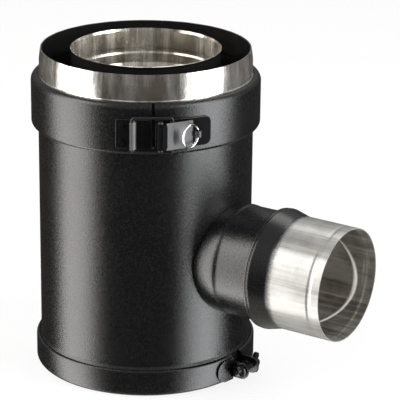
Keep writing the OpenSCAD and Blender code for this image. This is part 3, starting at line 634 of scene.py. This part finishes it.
def prism(name, outline, azimuth, z0, z1, look, bevel=0.2):
    """An upright prism whose outline is in (out, side) at an azimuth."""
    verts = [local(o, s, azimuth, z) for z in (z0, z1) for o, s in outline]
    obj = finish_mesh(name, verts, prism_faces(len(outline)), look, sharp=PRESSED_DEG)
    round_edges(obj, bevel)
    return obj


def arc_points(x, y, r, a0, a1, steps=14):
    """Points round a centre from one angle to another, in degrees."""
    return [(x + r * math.cos(math.radians(a0 + (a1 - a0) * k / steps)),
             y + r * math.sin(math.radians(a0 + (a1 - a0) * k / steps))) for k in range(steps + 1)]


# the hook: the plate's tongue curled over the bail, coloured lighter grey than the plate, a painted highlight
hook_back = 20
hook_az = LEVER_AZ - hook_back
hook_r = 83.4
hook_in = 2.05
hook_t = 1.0
half_hook = 9.5
curl = arc_points(hook_r, 0, hook_in + hook_t, 165, -20, 18) + arc_points(hook_r, 0, hook_in, -20, 150, 18)
# painted highlight: the lip is a lighter grey than the gloss plate
lip_painted_highlight_look = one_colour("lip painted highlight", (0.13, 0.13, 0.128), 0.5, metallic=0.5, pits=(0.6, 0.00006))
hook = prism("hook", curl, hook_az, LATCH_Z - half_hook, LATCH_Z + half_hook, lip_painted_highlight_look)

# hinge ears of the base
pin_out = 86.1
pin_side = -10.7
knuckle = 2.6
ear_foot = 80.0
ear_z = 8.7
half_ear = 0.5
ears = []
for s in (-1, 1):
    outline = arc_points(pin_out, pin_side, knuckle, -90, 90, 16)
    outline += [(ear_foot, pin_side + knuckle), (ear_foot, pin_side - knuckle)]
    z = LATCH_Z + s * ear_z
    ears.append(prism("hinge_ear", outline, LEVER_AZ, z - half_ear, z + half_ear, gloss))


def joined(name, objs):
    """Several pieces as one object, their modifiers applied first."""
    for obj in objs:
        bpy.context.view_layer.objects.active = obj
        for mod in list(obj.modifiers):
            bpy.ops.object.modifier_apply(modifier=mod.name)
    with bpy.context.temp_override(active_object=objs[0], object=objs[0],
                                   selected_objects=objs, selected_editable_objects=objs):
        bpy.ops.object.join()
    objs[0].name = name
    return objs[0]


strike = joined("strike", [strike, hook])
base = joined("base_plate", [base] + ears)
for obj, node in ((strike, "strike_plate"), (base, "latch_base")):
    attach(obj, "root")
    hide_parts(node)

# Lever
# Zinc-plated sheet rolled round the hinge pin, with two cheeks for the bail, a pressed boss
# and, at its free end, the eye that carries the ring.

lever_face = 88.7
lever_t = 1.2
lever_lean = math.radians(12.668)
lever_under = lever_face - lever_t
half_h = 9.4
half_web = 8.0
pin_hole = 1.26
zinc = one_colour("dull zinc", (0.075, 0.075, 0.078), 0.42, metallic=0.7, pits=(0.6, 0.00006))


def leaned(out, side):
    """A place on the closed lever as (out, side): the lever leans down about its pin."""
    o, s = out - pin_out, side - pin_side
    return (pin_out + o * math.cos(lever_lean) - s * math.sin(lever_lean),
            pin_side + o * math.sin(lever_lean) + s * math.cos(lever_lean))


# painted shade: the knuckle and the strip beside it take the base's black paint, not the lever's zinc, for
# the dark in the hinge
rolled_end = arc_points(pin_out, pin_side, knuckle, 25, 335, 28)
rolled_end += arc_points(pin_out, pin_side, pin_hole, 335, 25, 20)
parts = [prism("lever_knuckle", rolled_end, LEVER_AZ, LATCH_Z - half_web, LATCH_Z + half_web, gloss)]
web = [(lever_under, pin_side), (lever_face, pin_side), (lever_face, pin_side + 4),
       (lever_under, pin_side + 4)]
parts.append(prism("lever_web", web, LEVER_AZ, LATCH_Z - half_web, LATCH_Z + half_web, gloss))
flat = [(lever_under, pin_side + 3.0), (lever_face, pin_side + 3.0), (lever_face, 12.1),
        (lever_under, 12.1)]
parts.append(prism("lever_plate", flat, LEVER_AZ, LATCH_Z - half_h, LATCH_Z + half_h, zinc, bevel=0.35))

# cheeks that hold the bail's ends
bail_out = lever_under - 1.0
bail_side = -2.1
cheek_r = 1.9
cheek_z = 8.9
half_cheek = 0.5
for s in (-1, 1):
    outline = arc_points(bail_out, bail_side, cheek_r, -90, -270, 14)
    outline += [(lever_under + 0.3, bail_side + cheek_r), (lever_under + 0.3, bail_side - cheek_r)]
    z = LATCH_Z + s * cheek_z
    parts.append(prism("lever_cheek", outline, LEVER_AZ, z - half_cheek, z + half_cheek, zinc))

# the pressed boss, a low dome
boss_side = 2.2
boss_z = LATCH_Z - 0.6
boss_rise = 0.9
boss_wide = 5.0
boss_tall = 7.0
boss = []
rows, cols = 24, 28
for i in range(rows + 1):
    for k in range(cols + 1):
        u, v = 2 * i / rows - 1, 2 * k / cols - 1
        rise = boss_rise * (math.cos(math.pi * u / 2) * math.cos(math.pi * v / 2)) ** 1.3
        boss.append(local(lever_face - 0.02 + rise, boss_side + boss_wide * u, LEVER_AZ,
                          boss_z + boss_tall * v))
faces = []
for i in range(rows):
    for k in range(cols):
        this, beyond = i * (cols + 1) + k, (i + 1) * (cols + 1) + k
        faces.append((this, beyond, beyond + 1, this + 1))
parts.append(finish_mesh("lever_boss", boss, faces, zinc))

# the tongue rolled into the ring's eye
eye_out = lever_under + 2.5
eye_side = 15.0
eye_r = 2.5
eye_bore = 1.6
half_tongue = 2.2
tongue = [(lever_under, 11.0), (lever_face, 11.0), (lever_face, eye_side), (lever_under, eye_side)]
eye = arc_points(eye_out, eye_side, eye_r, 180, 480, 24)
eye += arc_points(eye_out, eye_side, eye_bore, 480, 180, 20)
for name, outline in (("lever_tongue", tongue), ("lever_eye", eye)):
    parts.append(prism(name, outline, LEVER_AZ, LATCH_Z - half_tongue, LATCH_Z + half_tongue, zinc))
lever = joined("lever", parts)
pin_at = local(pin_out, pin_side, LEVER_AZ) * MM
lean = Matrix.Translation(pin_at) @ Matrix.Rotation(lever_lean, 4, "Z") @ Matrix.Translation(-pin_at)
lever.data.transform(lean)
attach(lever, "lever")
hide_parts("latch_lever")

# Wire bail
# One wire bent into a loop: round the hook, along both sides and into the lever's cheeks.
# It is blackened steel, and its ends turn in the cheeks.

bail_r = 0.9
bail_half = 11.9
hook_bend = 2.4
cheek_bend = 1.4
end_z = 7.3
hook_out = hook_r * math.cos(math.radians(hook_back))
hook_side = -hook_r * math.sin(math.radians(hook_back))
blackened = one_colour("blackened steel", (0.028, 0.027, 0.026), 0.3, metallic=0.6, pits=(0.8, 0.00005))


def wire(name, points, radius, look):
    """A round wire through points in millimetres."""
    curve = bpy.data.curves.new(name, "CURVE")
    curve.dimensions = "3D"
    curve.bevel_depth = radius * MM
    curve.bevel_resolution = 8
    curve.use_fill_caps = True
    line = curve.splines.new("POLY")
    line.points.add(len(points) - 1)
    for p, q in zip(line.points, points):
        p.co = (q[0] * MM, q[1] * MM, q[2] * MM, 1)
    obj = bpy.data.objects.new(name, curve)
    bpy.context.scene.collection.objects.link(obj)
    mesh = bpy.data.meshes.new_from_object(obj.evaluated_get(bpy.context.evaluated_depsgraph_get()))
    bpy.data.objects.remove(obj)
    mesh.materials.clear()
    mesh.materials.append(look)
    mesh.shade_smooth()
    made = bpy.data.objects.new(name, mesh)
    bpy.context.scene.collection.objects.link(made)
    return made


def corner_arc(centre, start, end, radius, steps=8):
    """Arc points in the plane of two unit vectors, from start to end, about centre."""
    turns = [math.pi / 2 * k / steps for k in range(steps + 1)]
    return [centre + (start * math.cos(turn) + end * math.sin(turn)) * radius for turn in turns]


hook_at = local(hook_out, hook_side, LEVER_AZ, LATCH_Z)
lever_at = local(*leaned(bail_out, bail_side), LEVER_AZ, LATCH_Z)
run = (lever_at - hook_at).normalized()
up = Vector((0, 0, 1))
top = corner_arc(hook_at + run * hook_bend + up * (bail_half - hook_bend), -run, up, hook_bend)
top += corner_arc(lever_at - run * cheek_bend + up * (bail_half - cheek_bend), up, run, cheek_bend)
top.append(lever_at + up * end_z)
path = [Vector((p.x, p.y, 2 * LATCH_Z - p.z)) for p in reversed(top)] + top
bail = wire("bail", path, bail_r, blackened)
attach(bail, "bail")
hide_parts("wire_bail")

# Split ring
# Nickel-plated spring wire coiled nearly twice, threaded through the lever's eye.
# The coils lie close together and part a little at the eye.

ring_r = 7.75
ring_wire = 0.5
ring_lean = math.radians(36)
wire_start = math.radians(250)
coil_rise = 0.48
coil_spread = 0.35
turns = 1.9
steps = 120
nickel = one_colour("nickel", (0.78, 0.76, 0.71), 0.14, metallic=1.0)
eye_at = leaned(eye_out, eye_side)
points = []
for k in range(steps + 1):
    angle = wire_start + 2 * math.pi * turns * k / steps
    spread = coil_spread * math.cos(angle) * (1 if k > steps / 2 else -1)
    out = (k / steps - 0.5) * 2 * coil_rise + spread
    side = -ring_r + ring_r * math.cos(angle)
    points.append(local(eye_at[0] + out * math.cos(ring_lean) - side * math.sin(ring_lean),
                        eye_at[1] + out * math.sin(ring_lean) + side * math.cos(ring_lean),
                        LEVER_AZ, LATCH_Z + ring_r * math.sin(angle)))
ring = wire("ring", points, ring_wire, nickel)
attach(ring, "ring")
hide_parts("split_ring")

# Clamp closure
# Two steel lugs, each a foot welded to the clamp band and bent out into an ear, painted with
# the band. A blackened pan-head screw goes through both ears and takes the wing nut.

SCREW_OUT = 87.0
SCREW_Z = 10.0
ear_side = 5.8
ear_r = 6.0
ear_bevel = 0.3
foot_half = 8.3
foot_long = 15.6
lug_t = 1.4
lug_r = 78.45
for way, node in ((-1, "clamp_lug_left"), (1, "clamp_lug_right")):
    foot = rounded(ear_side - 0.6, ear_side - 0.6 + foot_long, SCREW_Z - foot_half, SCREW_Z + foot_half,
                   (0.5, 8.2, 8.2, 0.5), steps=12)
    if way < 0:
        foot = [(-s, h) for s, h in reversed(foot)]
    foot_plate = plate("lug_foot", foot, lug_r, lug_t, 0, powder, columns=24, bevel=0.35)
    outline = arc_points(SCREW_OUT, SCREW_Z, ear_r, -90, 90, 24)
    outline += [(lug_r + 0.6, SCREW_Z + ear_r), (lug_r + 0.6, SCREW_Z - ear_r)]
    inner, outer = way * ear_side, way * (ear_side + lug_t)
    verts = [(o, y, z) for y in (inner, outer) for o, z in outline]
    ear = finish_mesh("lug_ear", verts, prism_faces(len(outline)), powder, sharp=PRESSED_DEG)
    round_edges(ear, ear_bevel)
    lug = joined("lug_" + ("left" if way < 0 else "right"), [foot_plate, ear])
    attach(lug, "root")
    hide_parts(node)

# the pan-head screw: crowned head with a cross recess, rolled thread on its shank
head_r = 4.6
head_h = 3.2
crown = 1.2
shank_r = 2.5
shank_len = 22.4
thread_pitch = 0.8
thread_depth = 0.35
slot_size = (head_r * 1.24, 1.3, 3.6)
head = [(0.0, -head_h)] + [(head_r * 0.86 * k / 8, -head_h + crown * (k / 8) ** 2 * 0.6) for k in range(1, 9)]
head += [(head_r, -head_h + crown * 1.3), (head_r, 0.0)]
half_turns = range(int((shank_len - 1) / thread_pitch * 2))
thread = [(shank_r - 0.05 - thread_depth * (k % 2), 0.4 + thread_pitch / 2 * k) for k in half_turns]
screw = lathe("screw", head + thread + [(0.0, shank_len)], blackened, steps=64)
for turn_by in (45, 135):
    bpy.ops.mesh.primitive_cube_add(size=1, location=(0, 0, -head_h * MM))
    slot_bar = bpy.context.object
    slot_bar.scale = [length * MM for length in slot_size]
    slot_bar.rotation_euler = (0, 0, math.radians(turn_by))
    bpy.context.view_layer.update()
    cut(screw, slot_bar)
head_at = Vector((SCREW_OUT, -ear_side - lug_t, SCREW_Z)) * MM
screw.data.transform(Matrix.Translation(head_at) @ Matrix.Rotation(-math.pi / 2, 4, "X"))
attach(screw, "root")
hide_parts("clamp_screw")

# Carried pieces
# The rest is shown as the part's source makes it: wing nut and washer, hinge pin, rivets,
# spacers, branch liner, and the cap's pan and cup. Each takes the finish of its slot, and the
# rivets of the latch are painted with its plates.

SLOT_LOOKS = {
    "powder_coat": powder, "stainless": steel, "liner_stainless": liner_steel, "black_gloss": gloss,
    "black_steel": blackened, "grey_zinc": zinc, "zinc_steel": zinc, "nickel": nickel}
for part in frame["record"]["subparts"]:
    carried = frame["nodes"][part["node"]]
    carried.data.materials.clear()
    carried.data.materials.append(SLOT_LOOKS[part["material_slot"]])
for node in ("strike_rivets", "latch_base_rivets"):
    frame["nodes"][node].data.materials[0] = gloss

# Camera
# Stands where the photograph was taken from, with a long lens: yaw, pitch and roll are its
# turn away from the heading, in radians.

CAMERA_FROM = (800.5, -1135.4, 604.4)
HEADING = math.radians(35.18)
YAW = 0.0276
PITCH = 0.337
ROLL = 0.0112
turn = Matrix.Rotation(HEADING, 3, "Z")
ahead = turn @ Vector((math.sin(YAW) * math.cos(PITCH), math.cos(YAW) * math.cos(PITCH), -math.sin(PITCH)))
right = turn @ Vector((math.cos(YAW), -math.sin(YAW), 0))
above = right.cross(ahead)
right_rolled = right * math.cos(ROLL) + above * math.sin(ROLL)
above_rolled = above * math.cos(ROLL) - right * math.sin(ROLL)
lens = bpy.data.cameras.new("camera")
lens.lens = 186.82
lens.sensor_width = 36
lens.clip_end = 20
camera = bpy.data.objects.new("camera", lens)
camera.matrix_world = Matrix((
    (right_rolled.x, above_rolled.x, -ahead.x, CAMERA_FROM[0] * MM),
    (right_rolled.y, above_rolled.y, -ahead.y, CAMERA_FROM[1] * MM),
    (right_rolled.z, above_rolled.z, -ahead.z, CAMERA_FROM[2] * MM),
    (0, 0, 0, 1)))
scene = bpy.context.scene
scene.collection.objects.link(camera)
scene.camera = camera

# Studio
# Two tall soft boxes at the sides, a weaker one overhead and a pale table. The table shows
# white to the camera, as the photograph's ground does.

VIEW_AZ = -54.82
AIM_Z = 0.12


def soft_box(name, azimuth, distance, centre_z, width, height, strength, tint):
    """A rectangular lamp that faces the tee, its azimuth counted from the camera's."""
    light = bpy.data.lights.new(name, "AREA")
    light.shape = "RECTANGLE"
    light.size = width
    light.size_y = height
    light.energy = strength * width * height
    light.color = tint
    obj = bpy.data.objects.new(name, light)
    a = math.radians(VIEW_AZ + azimuth)
    obj.location = (distance * math.cos(a), distance * math.sin(a), centre_z)
    aim = Vector((0, 0, AIM_Z)) - obj.location
    obj.rotation_euler = aim.to_track_quat("-Z", "Y").to_euler()
    scene.collection.objects.link(obj)
    obj.visible_camera = False


soft_box("left_box", -79, 1.1, 0.1, 0.84, 3.0, 20.5, (1.0, 0.97, 0.94))
soft_box("right_box", 65, 1.1, 0.1, 0.78, 3.0, 22, (0.97, 0.985, 1.0))
soft_box("top_box", 160, 1.2, 1.9, 1.4, 1.0, 8, (1.0, 0.99, 0.97))

bpy.ops.mesh.primitive_plane_add(size=12, location=(0, 0, 0))
floor = bpy.context.object
floor.name = "floor"
floor_look, tree, skin = material("pale table")
skin.inputs["Base Color"].default_value = (0.9, 0.9, 0.9, 1)
skin.inputs["Roughness"].default_value = 0.9
rays = add(tree, "ShaderNodeLightPath")
shown_white = calc(tree, "MULTIPLY", rays.outputs["Is Camera Ray"], 0.85)
white = add(tree, "ShaderNodeEmission")
both = add(tree, "ShaderNodeMixShader")
tree.links.new(shown_white, both.inputs[0])
tree.links.new(skin.outputs[0], both.inputs[1])
tree.links.new(white.outputs[0], both.inputs[2])
tree.links.new(both.outputs[0], tree.nodes["Material Output"].inputs["Surface"])
floor.data.materials.append(floor_look)
floor.visible_glossy = False

world = bpy.data.worlds.new("studio")
scene.world = world
world.use_nodes = True
tree = world.node_tree
ground = tree.nodes["Background"]
direction = add(tree, "ShaderNodeTexCoord")
axes = add(tree, "ShaderNodeSeparateXYZ", [("Vector", direction.outputs["Generated"])])
upward = remap(tree, axes.outputs["Z"], (-1.0, 1.0), (0.0, 1.0))
room = add(tree, "ShaderNodeValToRGB", [("Fac", upward)])
# the white table straight below, dark cloth round the set, the pale ceiling above
levels = [
    (0.0, (0.62, 0.60, 0.54)), (0.13, (0.58, 0.56, 0.50)), (0.24, (0.05, 0.045, 0.04)),
    (0.43, (0.05, 0.045, 0.04)), (0.56, (0.12, 0.118, 0.115)), (0.75, (0.36, 0.36, 0.355)),
    (1.0, (0.42, 0.42, 0.42))]
while len(room.color_ramp.elements) < len(levels):
    room.color_ramp.elements.new(0.5)
for stop, (place_at, shade) in zip(room.color_ramp.elements, levels):
    stop.position = place_at
    stop.color = (*shade, 1)
rays = add(tree, "ShaderNodeLightPath")
backdrop = blend(tree, rays.outputs["Is Camera Ray"], room.outputs["Color"], (1, 1, 1, 1))
tree.links.new(backdrop, ground.inputs["Color"])
scene.view_settings.view_transform = "Standard"
